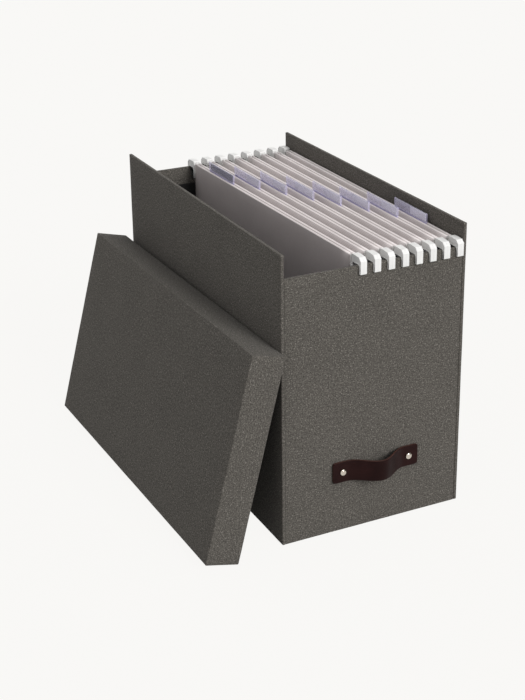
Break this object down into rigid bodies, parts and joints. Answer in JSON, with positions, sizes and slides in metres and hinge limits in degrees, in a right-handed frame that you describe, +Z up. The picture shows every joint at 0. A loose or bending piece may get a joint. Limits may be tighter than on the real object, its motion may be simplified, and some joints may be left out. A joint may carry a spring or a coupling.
{
  "type": "hanging file box",
  "caption": "Cloth-covered board box with folders hanging by hooks on its lower end walls, a leather pull at one end and its lift-off lid leaning on a side wall.",
  "frame": {"origin": "on the ground under the middle of the box, at the centre of its underside", "axes": "+Z up, +Y along the box's long side away from the leather pull, +X across the box away from the leaning lid"},
  "size_m": [0.274, 0.3714, 0.279],
  "materials": {
    "canvas_board": "rigid board wrapped in dark warm-grey woven canvas",
    "black_lining": "matt black lining paper",
    "brown_leather": "smooth dark brown leather with a soft sheen",
    "nickel": "polished nickel",
    "grey_card": "pale warm-grey card with fine ribs along the fold",
    "white_plastic": "white moulded plastic",
    "lilac_plastic": "clear plastic with a lilac tint",
    "label_card": "plain card insert"
  },
  "bodies": {
    "root": {"side_wall_left": "canvas_board", "side_wall_right": "canvas_board", "end_wall_front": "canvas_board", "end_wall_back": "canvas_board", "base_board": "canvas_board", "lid": "canvas_board", "lining_left": "black_lining", "lining_right": "black_lining", "lining_front": "black_lining", "lining_back": "black_lining", "lining_base": "black_lining", "pull_strap": "brown_leather", "rivet_left": "nickel", "rivet_right": "nickel", "rivet_washer_left": "nickel", "rivet_washer_right": "nickel", "folder_1_sleeve": "grey_card", "folder_1_rail_left": "white_plastic", "folder_1_rail_right": "white_plastic", "folder_1_tab": "lilac_plastic", "folder_1_label": "label_card", "folder_2_sleeve": "grey_card", "folder_2_rail_left": "white_plastic", "folder_2_rail_right": "white_plastic", "folder_2_tab": "lilac_plastic", "folder_2_label": "label_card", "folder_3_sleeve": "grey_card", "folder_3_rail_left": "white_plastic", "folder_3_rail_right": "white_plastic", "folder_3_tab": "lilac_plastic", "folder_3_label": "label_card", "folder_4_sleeve": "grey_card", "folder_4_rail_left": "white_plastic", "folder_4_rail_right": "white_plastic", "folder_4_tab": "lilac_plastic", "folder_4_label": "label_card", "folder_5_sleeve": "grey_card", "folder_5_rail_left": "white_plastic", "folder_5_rail_right": "white_plastic", "folder_5_tab": "lilac_plastic", "folder_5_label": "label_card", "folder_6_sleeve": "grey_card", "folder_6_rail_left": "white_plastic", "folder_6_rail_right": "white_plastic", "folder_6_tab": "lilac_plastic", "folder_6_label": "label_card", "folder_7_sleeve": "grey_card", "folder_7_rail_left": "white_plastic", "folder_7_rail_right": "white_plastic", "folder_7_tab": "lilac_plastic", "folder_7_label": "label_card", "folder_8_sleeve": "grey_card", "folder_8_rail_left": "white_plastic", "folder_8_rail_right": "white_plastic", "folder_8_tab": "lilac_plastic", "folder_8_label": "label_card"}
  },
  "joints": []
}
